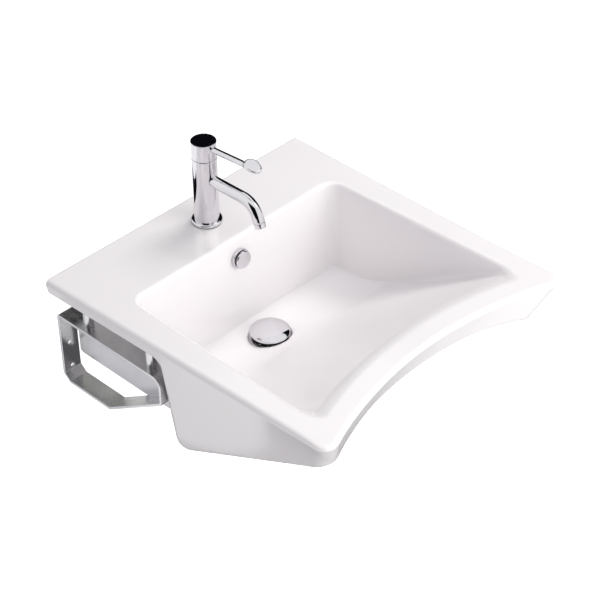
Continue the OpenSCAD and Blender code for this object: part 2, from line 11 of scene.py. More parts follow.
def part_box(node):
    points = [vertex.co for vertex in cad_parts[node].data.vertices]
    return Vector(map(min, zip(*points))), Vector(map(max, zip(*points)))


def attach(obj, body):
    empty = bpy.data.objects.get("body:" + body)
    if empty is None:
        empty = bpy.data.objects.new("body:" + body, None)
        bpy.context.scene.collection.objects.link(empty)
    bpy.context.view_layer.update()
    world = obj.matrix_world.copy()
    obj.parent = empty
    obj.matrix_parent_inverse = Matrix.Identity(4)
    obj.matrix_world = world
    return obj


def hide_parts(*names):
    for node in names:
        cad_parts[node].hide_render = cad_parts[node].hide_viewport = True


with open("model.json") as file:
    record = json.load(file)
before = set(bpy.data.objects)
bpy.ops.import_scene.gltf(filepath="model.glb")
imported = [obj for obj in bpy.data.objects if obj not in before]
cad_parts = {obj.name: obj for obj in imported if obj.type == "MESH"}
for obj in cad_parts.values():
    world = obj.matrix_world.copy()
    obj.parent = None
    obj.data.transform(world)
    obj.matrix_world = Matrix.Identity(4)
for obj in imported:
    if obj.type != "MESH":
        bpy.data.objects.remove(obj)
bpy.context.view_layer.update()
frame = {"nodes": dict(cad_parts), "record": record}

# Height of the rim over the frame's origin, and one millimetre, both in metres
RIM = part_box("basin")[1].z
MM = 0.001


def corners(node):
    """Lowest and highest corner of a CAD node, in millimetres from the rim."""
    return [(np.array(corner) - (0, 0, RIM)) * 1000 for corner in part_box(node)]


# Camera: where it stands, how it is turned, and its lens in pixels of the 600 pixel frame
CAMERA_SPOT = (-1626, -1848, 1701)
CAMERA_TURN = math.radians(-46.37)
CAMERA_TILT = math.radians(38.03)
CAMERA_ROLL = math.radians(-0.36)
FRAME_PIXELS = 600
FOCAL_PIXELS = 1708
FRAME_CENTRE = (302, 301)

# Basin casting
HALF_WIDTH = corners("basin")[1][0]
DEPTH = 617
SIDE_TAPER = 15
FRONT_MIDDLE = 553
FRONT_HALF = HALF_WIDTH - SIDE_TAPER
HOLLOW = DEPTH - FRONT_MIDDLE
FRONT_R = (FRONT_HALF ** 2 + HOLLOW ** 2) / (2 * HOLLOW)
FRONT_Y = -(FRONT_MIDDLE + FRONT_R)
FRONT_OUT = 12
FRONT_OUT_ENDS = 9
FRONT_LEAN = 0.37
FRONT_LEAN_ENDS = 0.2
FRONT_CORNER_R = 30
# The front's lean and reach change towards its ends from this far out, over this length
FRONT_ENDS_X = 120
FRONT_ENDS_LONG = 150
DECK = 32
TOP_EDGE_R = 11
FRONT_EDGE_R = 9
# How much of FRONT_EDGE_R counts at the front face, at most all of it, and the way back in which it
# falls by one
FRONT_EDGE_SHARE = 1.2
FRONT_EDGE_FADE = 50
BACK_EDGE_R = 3
UNDER_EDGE_R = 8
SKIRT_X = 255
SKIRT_INNER_X = 232
SKIRT_INNER_R = 8
SKIRT_BACK = 259
SKIRT_FOOT = 252
SKIRT_LOW = 251
SKIRT_FRONT_LOW = 76
SKIRT_FRONT_Y = 592
SKIRT_SLOPE = (SKIRT_LOW - SKIRT_FRONT_LOW) / (SKIRT_FRONT_Y - SKIRT_FOOT)
SKIRT_CORNER_R = 30
WING_FILLET = 15

# Bowl
BOWL_LOW = 174
BOWL_BACK = 146
BOWL_BACK_LOW = 162
BOWL_HALF = 237
BOWL_SIDE_SPREAD = 7 / 394
BOWL_SIDE_LEAN = 8 / 174
RAMP_FOOT = 250
RAMP_R = FRONT_R + 36
BOWL_CORNER_R = 24
BOWL_CORNER_LOW_R = 10
BOWL_FLOOR_R = 3.5
BOWL_FRONT_R = 20
# The foot of the sides is rounded by BOWL_FLOOR_R up to here, and by BOWL_FRONT_R this much further on
FOOT_CHANGE_Y = 330
FOOT_CHANGE_LONG = 150
RAMP_BLEND_R = 26
RIM_R = 7

# Underside
UNDER_FLOOR = 192
UNDER_FLOOR_R = 18
RAMP_UNDER_SLOPE = 130 / 255
RAMP_UNDER_R = 30
APRON_LOW = 58
APRON_DROP = 0.44
APRON_PEAK = 548
APRON_R = 3
SHELL_HALF = 245.5
SHELL_BACK = 132
SHELL_R = 22
SHELL_LOW_R = 20
SHELL_FILLET = 10
CHANNEL_HALF = 34
CHANNEL_BACK = 114
CHANNEL_R = 10
CHANNEL_LOW_R = 8
CHANNEL_END_R = 2
CHANNEL_FILLET = 10
BOSS_R = 40
BOSS_LOW = 202
BOSS_EDGE_R = 4
BOSS_FILLET = 6

# Holes and what sits in them
TAP_Y = sum(c[1] for c in corners("tap_base_ring")) / 2
TAP_HOLE_R = 17.5
HOLE_EDGE_R = 1
WASTE_Y = sum(c[1] for c in corners("plug_cap")) / 2
WASTE_HOLE_R = 22.5
DISH_R = 38
DISH_DEEP = 3
DISH_FLOOR_R = 2
DISH_RIM_R = 2.5
DISH_CUT_HIGH = 20
OVERFLOW_Z = -41
OVERFLOW_Y = -(BOWL_BACK + (BOWL_BACK_LOW - BOWL_BACK) * -OVERFLOW_Z / BOWL_LOW)
WALL_LEAN = math.atan((BOWL_BACK_LOW - BOWL_BACK) / BOWL_LOW)
OVERFLOW_OUT = (0, -math.cos(WALL_LEAN), math.sin(WALL_LEAN))
OVERFLOW_HOLE_R = 12.5
OVERFLOW_HOLE_HALF = 24
OVERFLOW_R = 18.5
OVERFLOW_BORE_R = 10.6
OVERFLOW_SEAT = -1
OVERFLOW_STEP = 4.4
COVER_BACK = 9.4
COVER_FRONT = 13.8
POST_R = 1
POST_CIRCLE_R = 11.7
CAP_RIM = 1.6
CAP_DOME = 3.8
CAP_EDGE = 1.2
CAP_UNDER = 4

# Tap
TAP_R = 22
TAP_FOOT = corners("tap_base_ring")[0][2]
HEAD_LOW = corners("lever_head")[0][2]
TAP_TOP = corners("lever_cap")[1][2]
BASE_RING_R = TAP_R + 5
BASE_RING_HIGH = 7
BASE_RING_MEET = 7.2
JOINT_R = TAP_R - 1.6
JOINT_LOW = HEAD_LOW - 0.9
JOINT_HIGH = HEAD_LOW + 0.4
HEAD_HIGH = TAP_TOP - 1.8
DISC_LOW = TAP_TOP - 1.7
SPOUT_R = 10.5
SPOUT_Z = 91
SPOUT_ROOT = 15.6
SPOUT_BEND = 35
SPOUT_TURN = math.radians(71)
MOUTH_Y = 130
MOUTH_Z = 49
AERATOR_LONG = 9
AERATOR_GAP = 0.35
AERATOR_BORE_R = 7.6
ARM_R = 5.4
ARM_RISE = math.radians(3.3)
ARM_ROOT = (TAP_Y - 13, TAP_TOP - 9.1)
ARM_LONG = 88
SPOON_AHEAD = 101
SPOON_LIFT = 4.5
SPOON_DROOP = math.radians(18)
SPOON_R = 13.3
SPOON_TIP_R = 12
SPOON_LONG = 6.5
SPOON_HALF = 3.5
SPOON_EDGE_R = 2.8
SPOON_FILLET = 9

# Brackets
STRAP_WIDE = 36
STRAP_THICK = 5
BRACKET_X = corners("bracket_right")[1][0] - STRAP_WIDE / 2
STRAP_TOP = corners("bracket_right")[1][2]
STRAP_LOW = corners("bracket_right")[0][2]
STRAP_FRONT = corners("bracket_right")[0][1]
STRAP_EDGE_R = 0.8
STRAP_DROP = 53
STRAP_TOE = -118
STRAP_HEEL = -16
STRAP_HEEL_HIGH = 15
STRAP_BEND_EASE = 0.5
STRAP_SLOPE = (STRAP_LOW - STRAP_TOP + STRAP_DROP) / (STRAP_TOE - STRAP_FRONT)
SCREW_HOLE_R = 4.25
SCREW_HOLES = (-150, -200)
DRILL_HALF = 8
SPACER_R = 9
SPACER_BORE_R = 5.4
SPACER_Y = (-62, STRAP_FRONT + 39)
PAD_THICK = 3
PAD_LOW = -DECK - PAD_THICK
PAD_R = 9.2
PAD_BULGE_R = 9.9
WEB_HIGH = 91
WEB_BACK = -14
WEB_SINK = 0.4
WEB_EDGE = 0.7
# The welded stretch of the web plate's outline, and how far inside it the beads run
WELDED = slice(4, 16)
WELD_INSET = 0.8
BEAD_R = 1.2
BEAD_STEP = 1.4

# The smallest radius of a turned profile, beside its axis
AXIS_R = 0.01

# Making: pulls of a netted point onto its surface, the longest pull, and the least square of the
# field's slope that a pull is worked out with
PULLS = 5
LONGEST_PULL = 2
LEAST_SLOPE_SQUARED = 0.2
# The most of a line's side that one rounded corner takes, and the least cosine of half a bend that an
# outline is moved inwards with
CORNER_SHARE = 0.49
TIGHTEST_BEND = 0.3

# Studio
AMBIENT = (0.3, 0.295, 0.31)
LAMP_AIM = (0, -0.3, -0.05)
FLOOR_DROP = 0.85
FLOOR_REACH = 9
FLOOR_TONE = (0.9, 0.9, 0.9)
FLOOR_GLOW = 0.55


# Shapes as signed distances: under zero inside, over zero outside

def cut(a, b, r=0.0):
    """What two shapes share, with the edge between them rounded by r."""
    return np.minimum(-r, np.maximum(a, b)) + np.hypot(np.maximum(a + r, 0), np.maximum(b + r, 0))


def join(a, b, r=0.0):
    """Two shapes together, with a fillet of r between them."""
    return -cut(-a, -b, r)


def outer_side(x, y, z):
    """The side faces, which lean in from the rounded top edge to the foot of the skirts."""
    edge = HALF_WIDTH + SIDE_TAPER * y / DEPTH
    foot = -SKIRT_LOW + SKIRT_SLOPE * np.clip(-y - SKIRT_FOOT, 0, SKIRT_FRONT_Y - SKIRT_FOOT)
    lean = (edge - SKIRT_X) / (-TOP_EDGE_R - foot)
    slant = np.sqrt(1 + lean * lean)
    return (np.abs(x) - edge - lean * (z + TOP_EDGE_R) - TOP_EDGE_R * (slant - 1)) / slant


def outer_front(x, y, z):
    """The hollowed front face, a cone that leans in below the rim, and less so at its two ends."""
    ends = np.clip((np.abs(x) - FRONT_ENDS_X) / FRONT_ENDS_LONG, 0, 1)
    out = FRONT_OUT + (FRONT_OUT_ENDS - FRONT_OUT) * ends
    lean = FRONT_LEAN + (FRONT_LEAN_ENDS - FRONT_LEAN) * ends
    reach = FRONT_R - out - lean * (z + TOP_EDGE_R)
    return (reach - np.hypot(x, y - FRONT_Y)) * math.cos(math.atan(FRONT_LEAN))


def skirt_region(x, y, z):
    """The two side skirts, in front of their back edges and over their rising foot."""
    foot = (-SKIRT_LOW - SKIRT_SLOPE * (y + SKIRT_FOOT) - z) / math.hypot(1, SKIRT_SLOPE)
    back = y + SKIRT_BACK + (SKIRT_BACK - SKIRT_FOOT) * (z + DECK) / (SKIRT_LOW - DECK)
    profile = cut(foot, back, SKIRT_CORNER_R)
    return cut(profile, SKIRT_INNER_X - np.abs(x), SKIRT_INNER_R)


def bowl_shell(x, y, z):
    """The shell round the bowl, with the overflow channel behind it and the boss of the waste."""
    ramp = (-UNDER_FLOOR - RAMP_UNDER_SLOPE * (y + RAMP_FOOT) - z) / math.hypot(1, RAMP_UNDER_SLOPE)
    apron = (-APRON_LOW + APRON_DROP * (y + APRON_PEAK) - z) / math.hypot(1, APRON_DROP)
    front = join(join(ramp, -APRON_LOW - z, RAMP_UNDER_R), apron, APRON_R)
    under = cut(front, -UNDER_FLOOR - z, UNDER_FLOOR_R)
    walls = cut(np.abs(x) - SHELL_HALF, y + SHELL_BACK, SHELL_R)
    shell = cut(under, walls, SHELL_LOW_R)
    channel = cut(np.abs(x) - CHANNEL_HALF, y + CHANNEL_BACK, CHANNEL_R)
    channel = cut(channel, -UNDER_FLOOR - z, CHANNEL_LOW_R)
    channel = cut(channel, WASTE_Y - y, CHANNEL_END_R)
    boss = cut(np.hypot(x, y - WASTE_Y) - BOSS_R, -BOSS_LOW - z, BOSS_EDGE_R)
    return join(join(shell, channel, CHANNEL_FILLET), boss, BOSS_FILLET)


def bowl_hollow(x, y, z):
    """The bowl: a leaning back and sides, a flat floor and a ramp up to the hollowed rim."""
    back = (y + BOWL_BACK - (BOWL_BACK_LOW - BOWL_BACK) * z / BOWL_LOW) * math.cos(WALL_LEAN)
    spread = BOWL_HALF - BOWL_SIDE_SPREAD * (y + BOWL_BACK) + BOWL_SIDE_LEAN * z
    sides = (np.abs(x) - spread) * math.cos(math.atan(BOWL_SIDE_LEAN))
    rise = z / BOWL_LOW + 1
    rim = FRONT_Y + np.sqrt(RAMP_R ** 2 - np.minimum(np.abs(x), HALF_WIDTH) ** 2)
    slope = (rim + RAMP_FOOT) / BOWL_LOW
    ramp = (rim * rise - RAMP_FOOT * (1 - rise) - y) / np.sqrt(1 + slope * slope)
    base = cut(-BOWL_LOW - z, ramp, RAMP_BLEND_R)
    corner_r = BOWL_CORNER_LOW_R + (BOWL_CORNER_R - BOWL_CORNER_LOW_R) * np.clip(rise, 0, 1)
    ahead = np.clip((-y - FOOT_CHANGE_Y) / FOOT_CHANGE_LONG, 0, 1)
    foot_r = BOWL_FLOOR_R + (BOWL_FRONT_R - BOWL_FLOOR_R) * ahead
    return cut(base, cut(back, sides, corner_r), foot_r)


def casting(x, y, z):
    """The whole ceramic casting."""
    front = outer_front(x, y, z)
    share = np.clip(FRONT_EDGE_SHARE + front / FRONT_EDGE_FADE, 0, 1)
    edge_r = TOP_EDGE_R + (FRONT_EDGE_R - TOP_EDGE_R) * share
    outside = cut(cut(outer_side(x, y, z), front, FRONT_CORNER_R), z, edge_r)
    wings = join(-DECK - z, skirt_region(x, y, z), WING_FILLET)
    under = join(wings, bowl_shell(x, y, z), SHELL_FILLET)
    solid = cut(cut(outside, under, UNDER_EDGE_R), y, BACK_EDGE_R)
    solid = cut(solid, -bowl_hollow(x, y, z), RIM_R)
    from_waste = np.hypot(x, y - WASTE_Y)
    dish = cut(from_waste - DISH_R, -BOWL_LOW - DISH_DEEP - z, DISH_FLOOR_R)
    solid = cut(solid, -cut(dish, z + BOWL_LOW - DISH_CUT_HIGH), DISH_RIM_R)
    solid = cut(solid, WASTE_HOLE_R - from_waste, HOLE_EDGE_R)
    solid = cut(solid, TAP_HOLE_R - np.hypot(x, y - TAP_Y), HOLE_EDGE_R)
    along = (y - OVERFLOW_Y) * OVERFLOW_OUT[1] + (z - OVERFLOW_Z) * OVERFLOW_OUT[2]
    across = (y - OVERFLOW_Y) * OVERFLOW_OUT[2] - (z - OVERFLOW_Z) * OVERFLOW_OUT[1]
    overflow = cut(np.hypot(x, across) - OVERFLOW_HOLE_R, np.abs(along) - OVERFLOW_HOLE_HALF)
    return cut(solid, -overflow, HOLE_EDGE_R)


def two_discs(u, v, near_r, far_r, gap):
    """Flat outline round two discs, the second one further along v."""
    u = np.abs(u)
    narrowing = (near_r - far_r) / gap
    slant = math.sqrt(1 - narrowing * narrowing)
    where = slant * v - narrowing * u
    side = slant * u + narrowing * v - near_r
    near = np.hypot(u, v) - near_r
    far = np.hypot(u, v - gap) - far_r
    return np.where(where < 0, near, np.where(where > slant * gap, far, side))


def lever(x, y, z):
    """The round lever and its flat spoon, which droops."""
    y = y - ARM_ROOT[0]
    z = z - ARM_ROOT[1]
    along = -y * math.cos(ARM_RISE) + z * math.sin(ARM_RISE)
    lift = y * math.sin(ARM_RISE) + z * math.cos(ARM_RISE)
    rod = np.hypot(np.hypot(x, lift), along - np.clip(along, 0, ARM_LONG)) - ARM_R
    along = along - SPOON_AHEAD
    lift = lift - SPOON_LIFT
    turn = SPOON_DROOP + ARM_RISE
    ahead = along * math.cos(turn) - lift * math.sin(turn)
    high = along * math.sin(turn) + lift * math.cos(turn)
    outline = two_discs(x, ahead, SPOON_R, SPOON_TIP_R, SPOON_LONG)
    spoon = cut(outline, np.abs(high) - SPOON_HALF, SPOON_EDGE_R)
    return join(rod, spoon, SPOON_FILLET)


def slopes(field, points, step=0.02):
    """The gradient of a field at each point."""
    grad = np.empty_like(points)
    for axis in range(3):
        ahead = points.copy()
        behind = points.copy()
        ahead[:, axis] += step
        behind[:, axis] -= step
        grad[:, axis] = (field(*ahead.T) - field(*behind.T)) / (2 * step)
    return grad


def net_surface(field, lines):
    """Points, quads and normals of the surface where a field is zero, netted over grid lines."""
    distance = field(*np.meshgrid(*lines, indexing="ij"))
    inside = distance < 0
    cells = tuple(n - 1 for n in inside.shape)
    corner_steps = [(i, j, k) for i in (0, 1) for j in (0, 1) for k in (0, 1)]

    def shifted(grid, steps):
        return grid[tuple(slice(s, s + n) for s, n in zip(steps, cells))]

    filled = sum(shifted(inside, steps).astype(int) for steps in corner_steps)
    at = np.argwhere((filled > 0) & (filled < 8))
    number = np.full(cells, -1)
    number[tuple(at.T)] = np.arange(len(at))
    total = np.zeros((len(at), 3))
    count = np.zeros(len(at))
    for axis in range(3):
        for start in corner_steps:
            if start[axis]:
                continue
            end = tuple(s + (a == axis) for a, s in enumerate(start))
            here = distance[tuple((at + start).T)]
            there = distance[tuple((at + end).T)]
            crosses = (here < 0) != (there < 0)
            share = np.where(crosses, here / np.where(crosses, here - there, 1), 0)
            point = np.stack([lines[a][at[:, a] + start[a]] for a in range(3)], 1)
            span = lines[axis][at[:, axis] + 1] - lines[axis][at[:, axis]]
            point[:, axis] += share * span
            total[crosses] += point[crosses]
            count[crosses] += 1
    points = total / count[:, None]
    for _ in range(PULLS):
        grad = slopes(field, points)
        move = field(*points.T) / np.maximum((grad * grad).sum(1), LEAST_SLOPE_SQUARED)
        points -= grad * np.clip(move, -LONGEST_PULL, LONGEST_PULL)[:, None]
    quads = []
    for axis in range(3):
        b = (axis + 1) % 3
        c = (axis + 2) % 3
        low = np.moveaxis(inside, axis, 0)[:-1]
        high = np.moveaxis(inside, axis, 0)[1:]
        crossing = np.argwhere(np.moveaxis(low != high, 0, axis))
        crossing = crossing[(crossing[:, b] > 0) & (crossing[:, c] > 0)
                            & (crossing[:, b] < cells[b]) & (crossing[:, c] < cells[c])]
        ring = []
        for back_b, back_c in ((1, 1), (0, 1), (0, 0), (1, 0)):
            cell = crossing.copy()
            cell[:, b] -= back_b
            cell[:, c] -= back_c
            ring.append(number[tuple(cell.T)])
        ring = np.stack(ring, 1)
        leaving = inside[tuple(crossing.T)]
        quads += [ring[leaving], ring[~leaving][:, ::-1]]
    normals = slopes(field, points)
    normals /= np.linalg.norm(normals, axis=1)[:, None]
    return points, np.concatenate(quads), normals


# Turned, swept and lofted shapes

def rounded(path, steps=5, ring=False):
    """A line through corners (a, b, radius), each turned with its own radius."""
    line = []
    count = len(path)
    for i, (a, b, radius) in enumerate(path):
        here = np.array((a, b), float)
        if radius == 0 or (not ring and i in (0, count - 1)):
            line.append(here)
            continue
        before = np.array(path[i - 1][:2], float) - here
        after = np.array(path[(i + 1) % count][:2], float) - here
        long_before = np.linalg.norm(before)
        long_after = np.linalg.norm(after)
        u = before / long_before
        v = after / long_after
        half = math.acos(np.clip(u @ v, -1, 1)) / 2
        reach = min(radius / math.tan(half), long_before * CORNER_SHARE, long_after * CORNER_SHARE)
        centre = here + (u + v) / np.linalg.norm(u + v) * (reach / math.cos(half))
        arm_in = here + u * reach - centre
        arm_out = here + v * reach - centre
        sweep_angle = math.acos(np.clip(arm_in @ arm_out / (arm_in @ arm_in), -1, 1))
        for k in range(steps + 1):
            t = k / steps
            mix = arm_in * math.sin((1 - t) * sweep_angle) + arm_out * math.sin(t * sweep_angle)
            line.append(centre + mix / math.sin(sweep_angle))
    return np.array(line)


def skin(rings, path_closed=False, caps=True):
    """Points and faces over closed rows of points, its two ends closed to a point unless caps is off."""
    rings = np.asarray(rings, float)
    rows, count = rings.shape[:2]
    faces = []
    for j in range(rows if path_closed else rows - 1):
        k = (j + 1) % rows
        for i in range(count):
            n = (i + 1) % count
            faces.append((j * count + i, j * count + n, k * count + n, k * count + i))
    points = rings.reshape(-1, 3)
    if caps and not path_closed:
        points = np.concatenate([points, [rings[0].mean(0)], [rings[-1].mean(0)]])
        for i in range(count):
            n = (i + 1) % count
            faces.append((n, i, rows * count))
            faces.append(((rows - 1) * count + i, (rows - 1) * count + n, rows * count + 1))
    return points, faces


def lathe(profile, sides=96, ring=False):
    """A profile of (radius, height) turned round Z. A ring's profile is closed, others end at the axis."""
    turn = np.arange(sides) * 2 * math.pi / sides
    rings = [[(r * math.cos(t), r * math.sin(t), z) for t in turn] for r, z in profile]
    return skin(rings, path_closed=ring)


def settle(points, origin, out):
    """Points turned from +Z to the direction out, in the plane x = 0, and moved to origin."""
    points = np.asarray(points)
    out = np.asarray(out, float)
    up = np.array((0, out[2], -out[1]))
    turned = points[:, :1] * (1, 0, 0) + points[:, 1:2] * up + points[:, 2:] * out
    return turned + np.asarray(origin, float)


def sweep(path, section, closed=False):
    """A section (sideways along X, away from the path) carried along a path of (y, z)."""
    path = np.asarray(path, float)
    if closed:
        ahead = np.roll(path, -1, 0) - np.roll(path, 1, 0)
    else:
        ahead = np.gradient(path, axis=0)
    ahead /= np.linalg.norm(ahead, axis=1)[:, None]
    away = np.stack([-ahead[:, 1], ahead[:, 0]], 1)
    rings = [[(u, p[0] + v * n[0], p[1] + v * n[1]) for u, v in section] for p, n in zip(path, away)]
    return skin(rings, path_closed=closed)


def inset(outline, distance):
    """A closed outline, counterclockwise, moved inwards."""
    outline = np.asarray(outline, float)
    before = outline - np.roll(outline, 1, 0)
    after = np.roll(outline, -1, 0) - outline
    before /= np.linalg.norm(before, axis=1)[:, None]
    after /= np.linalg.norm(after, axis=1)[:, None]
    bend = before + after
    bend /= np.linalg.norm(bend, axis=1)[:, None]
    inward = np.stack([-bend[:, 1], bend[:, 0]], 1)
    stretch = np.clip((bend * before).sum(1), TIGHTEST_BEND, 1)
    return outline + inward * (distance / stretch)[:, None]


def plate(outline, low_x, high_x, edge):
    """A flat plate between two values of x, its outline given as (y, z), with its edges eased."""
    ease = edge * 0.3
    rows = [(low_x, edge), (low_x + ease, ease), (low_x + edge, 0),
            (high_x - edge, 0), (high_x - ease, ease), (high_x, edge)]
    rings = [[(x, y, z) for y, z in inset(outline, step)] for x, step in rows]
    points, faces = skin(rings, caps=False)
    count = len(outline)
    faces.append(tuple(range(count))[::-1])
    faces.append(tuple(range(len(points) - count, len(points))))
    return points, faces


# Pieces

def in_frame(points):
    """Points in millimetres from the rim, as a list of places in the frame."""
    return (np.asarray(points, float) * MM + (0, 0, RIM)).tolist()


def add_object(name, data):
    """A new object in the scene."""
    made = bpy.data.objects.new(name, data)
    bpy.context.scene.collection.objects.link(made)
    return made


def smooth_faces(mesh):
    """Shades every face smooth."""
    mesh.polygons.foreach_set("use_smooth", np.ones(len(mesh.polygons), bool))


def apply_modifier(piece, modifier):
    """Turns what a modifier makes into the piece's own mesh, and removes the modifier."""
    depsgraph = bpy.context.evaluated_depsgraph_get()
    result = bpy.data.meshes.new_from_object(piece.evaluated_get(depsgraph))
    piece.modifiers.remove(modifier)
    piece.data = result
    smooth_faces(result)
    return result


def set_normals(mesh):
    """Area-weighted normals, which keep flat faces flat beside small rounded edges."""
    mesh.calc_loop_triangles()
    points = np.empty(len(mesh.vertices) * 3)
    mesh.vertices.foreach_get("co", points)
    points = points.reshape(-1, 3)
    triangles = np.empty(len(mesh.loop_triangles) * 3, int)
    mesh.loop_triangles.foreach_get("vertices", triangles)
    triangles = triangles.reshape(-1, 3)
    a, b, c = (points[triangles[:, i]] for i in range(3))
    areas = np.cross(b - a, c - a)
    normals = np.zeros_like(points)
    for i in range(3):
        np.add.at(normals, triangles[:, i], areas)
    normals /= np.maximum(np.linalg.norm(normals, axis=1), 1e-12)[:, None]
    mesh.normals_split_custom_set_from_vertices(normals)


def add_piece(name, shape, finish, body, stands_for=(), normals=None):
    """A smooth piece from a shape in millimetres, with its finish, its body and the CAD nodes it hides."""
    points, faces = shape
    mesh = bpy.data.meshes.new(name)
    mesh.from_pydata(in_frame(points), [], [tuple(map(int, face)) for face in faces])
    mesh.validate()
    smooth_faces(mesh)
    if signed_volume(mesh) < 0:
        mesh.flip_normals()
    if normals is None:
        set_normals(mesh)
    else:
        mesh.normals_split_custom_set_from_vertices(normals)
    return dress(add_object(name, mesh), finish, body, stands_for)


def signed_volume(mesh):
    """Volume inside a mesh: under zero where its faces point inwards."""
    mesh.calc_loop_triangles()
    total = 0.0
    for triangle in mesh.loop_triangles:
        a, b, c = (mesh.vertices[i].co for i in triangle.vertices)
        total += a.dot(b.cross(c))
    return total


def dress(piece, finish, body, stands_for=()):
    """Gives a piece the material of its finish and its body, and hides the CAD nodes that it stands for.
    """
    piece.data.materials.clear()
    piece.data.materials.append(FINISHES[finish])
    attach(piece, body)
    if stands_for:
        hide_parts(*stands_for)
    return piece


def together(*shapes):
    """Several shapes as one."""
    points = []
    faces = []
    start = 0
    for shape_points, shape_faces in shapes:
        points.append(np.asarray(shape_points, float))
        faces += [tuple(int(i) + start for i in face) for face in shape_faces]
        start += len(shape_points)
    return np.concatenate(points), faces


def moved(shape, offset):
    """A shape moved by an offset."""
    return np.asarray(shape[0], float) + np.asarray(offset, float), shape[1]


def drill_out(piece, drills):
    """Cuts closed shapes out of a piece and works its normals out again."""
    mesh = bpy.data.meshes.new("drill")
    points, faces = together(*drills)
    mesh.from_pydata(in_frame(points), [], faces)
    if signed_volume(mesh) < 0:
        mesh.flip_normals()
    drill = add_object("drill", mesh)
    cutter = piece.modifiers.new("holes", "BOOLEAN")
    cutter.operation = "DIFFERENCE"
    cutter.solver = "EXACT"
    cutter.object = drill
    result = apply_modifier(piece, cutter)
    bpy.data.objects.remove(drill)
    set_normals(result)


# Finishes

def add_group(name, inputs, outputs):
    """An empty shader node group with named inputs and outputs."""
    group = bpy.data.node_groups.new(name, "ShaderNodeTree")
    for label, kind, value in inputs:
        socket = group.interface.new_socket(label, in_out="INPUT", socket_type=kind)
        if value is not None:
            socket.default_value = value
    for label, kind in outputs:
        group.interface.new_socket(label, in_out="OUTPUT", socket_type=kind)
    return group, group.nodes.new("NodeGroupInput"), group.nodes.new("NodeGroupOutput")


def make_marks_group():
    """Fine wiping marks: a roughness that drifts, and a faint height."""
    group, given, result = add_group(
        "polishing marks",
        [("Vector", "NodeSocketVector", None), ("Scale", "NodeSocketFloat", 30.0),
         ("Smooth", "NodeSocketFloat", 0.04), ("Rough", "NodeSocketFloat", 0.1)],
        [("Roughness", "NodeSocketFloat"), ("Height", "NodeSocketFloat")])
    noise = group.nodes.new("ShaderNodeTexNoise")
    noise.inputs["Detail"].default_value = 4
    noise.inputs["Roughness"].default_value = 0.6
    spread = group.nodes.new("ShaderNodeMapRange")
    spread.inputs["From Min"].default_value = 0.3
    spread.inputs["From Max"].default_value = 0.7
    group.links.new(given.outputs["Vector"], noise.inputs["Vector"])
    group.links.new(given.outputs["Scale"], noise.inputs["Scale"])
    group.links.new(noise.outputs["Fac"], spread.inputs["Value"])
    group.links.new(given.outputs["Smooth"], spread.inputs["To Min"])
    group.links.new(given.outputs["Rough"], spread.inputs["To Max"])
    group.links.new(spread.outputs["Result"], result.inputs["Roughness"])
    group.links.new(noise.outputs["Fac"], result.inputs["Height"])
    return group


def make_tone_group():
    """A base colour that drifts slowly between two tones."""
    group, given, result = add_group(
        "tone drift",
        [("Vector", "NodeSocketVector", None), ("Scale", "NodeSocketFloat", 4.0),
         ("Tone A", "NodeSocketColor", (1, 1, 1, 1)), ("Tone B", "NodeSocketColor", (1, 1, 1, 1))],
        [("Color", "NodeSocketColor")])
    noise = group.nodes.new("ShaderNodeTexNoise")
    noise.inputs["Detail"].default_value = 3
    spread = group.nodes.new("ShaderNodeMapRange")
    spread.inputs["From Min"].default_value = 0.35
    spread.inputs["From Max"].default_value = 0.65
    mix = group.nodes.new("ShaderNodeMix")
    mix.data_type = "RGBA"
    group.links.new(given.outputs["Vector"], noise.inputs["Vector"])
    group.links.new(given.outputs["Scale"], noise.inputs["Scale"])
    group.links.new(noise.outputs["Fac"], spread.inputs["Value"])
    group.links.new(spread.outputs["Result"], mix.inputs["Factor"])
    group.links.new(given.outputs["Tone A"], mix.inputs[6])
    group.links.new(given.outputs["Tone B"], mix.inputs[7])
    group.links.new(mix.outputs[2], result.inputs["Color"])
    return group


MARKS = make_marks_group()
TONES = make_tone_group()


def new_finish(name, tone_a, tone_b, tone_scale, metallic, smooth, rough, marks_scale, bump=0.0,
               stretch=(1, 1, 1), **settings):
    """A material of drifting tone and of marks stretched along an axis, with its own shader settings.

    Smooth and rough are the least and the most roughness, and bump is the marks' height in metres.
    """
    material = bpy.data.materials.new(name)
    material.use_nodes = True
    tree = material.node_tree
    shader = tree.nodes["Principled BSDF"]
    place = tree.nodes.new("ShaderNodeTexCoord")
    mapping = tree.nodes.new("ShaderNodeMapping")
    mapping.inputs["Scale"].default_value = stretch
    tree.links.new(place.outputs["Object"], mapping.inputs["Vector"])
    tones = tree.nodes.new("ShaderNodeGroup")
    tones.node_tree = TONES
    tones.inputs["Scale"].default_value = tone_scale
    tones.inputs["Tone A"].default_value = (*tone_a, 1)
    tones.inputs["Tone B"].default_value = (*tone_b, 1)
    marks = tree.nodes.new("ShaderNodeGroup")
    marks.node_tree = MARKS
    marks.inputs["Scale"].default_value = marks_scale
    marks.inputs["Smooth"].default_value = smooth
    marks.inputs["Rough"].default_value = rough
    tree.links.new(place.outputs["Object"], tones.inputs["Vector"])
    tree.links.new(mapping.outputs["Vector"], marks.inputs["Vector"])
    tree.links.new(tones.outputs["Color"], shader.inputs["Base Color"])
    tree.links.new(marks.outputs["Roughness"], shader.inputs["Roughness"])
    if bump:
        relief = tree.nodes.new("ShaderNodeBump")
        relief.inputs["Strength"].default_value = 1
        relief.inputs["Distance"].default_value = bump
        tree.links.new(marks.outputs["Height"], relief.inputs["Height"])
        tree.links.new(relief.outputs["Normal"], shader.inputs["Normal"])
    shader.inputs["Metallic"].default_value = metallic
    for label, value in settings.items():
        shader.inputs[label.replace("_", " ")].default_value = value
    return material


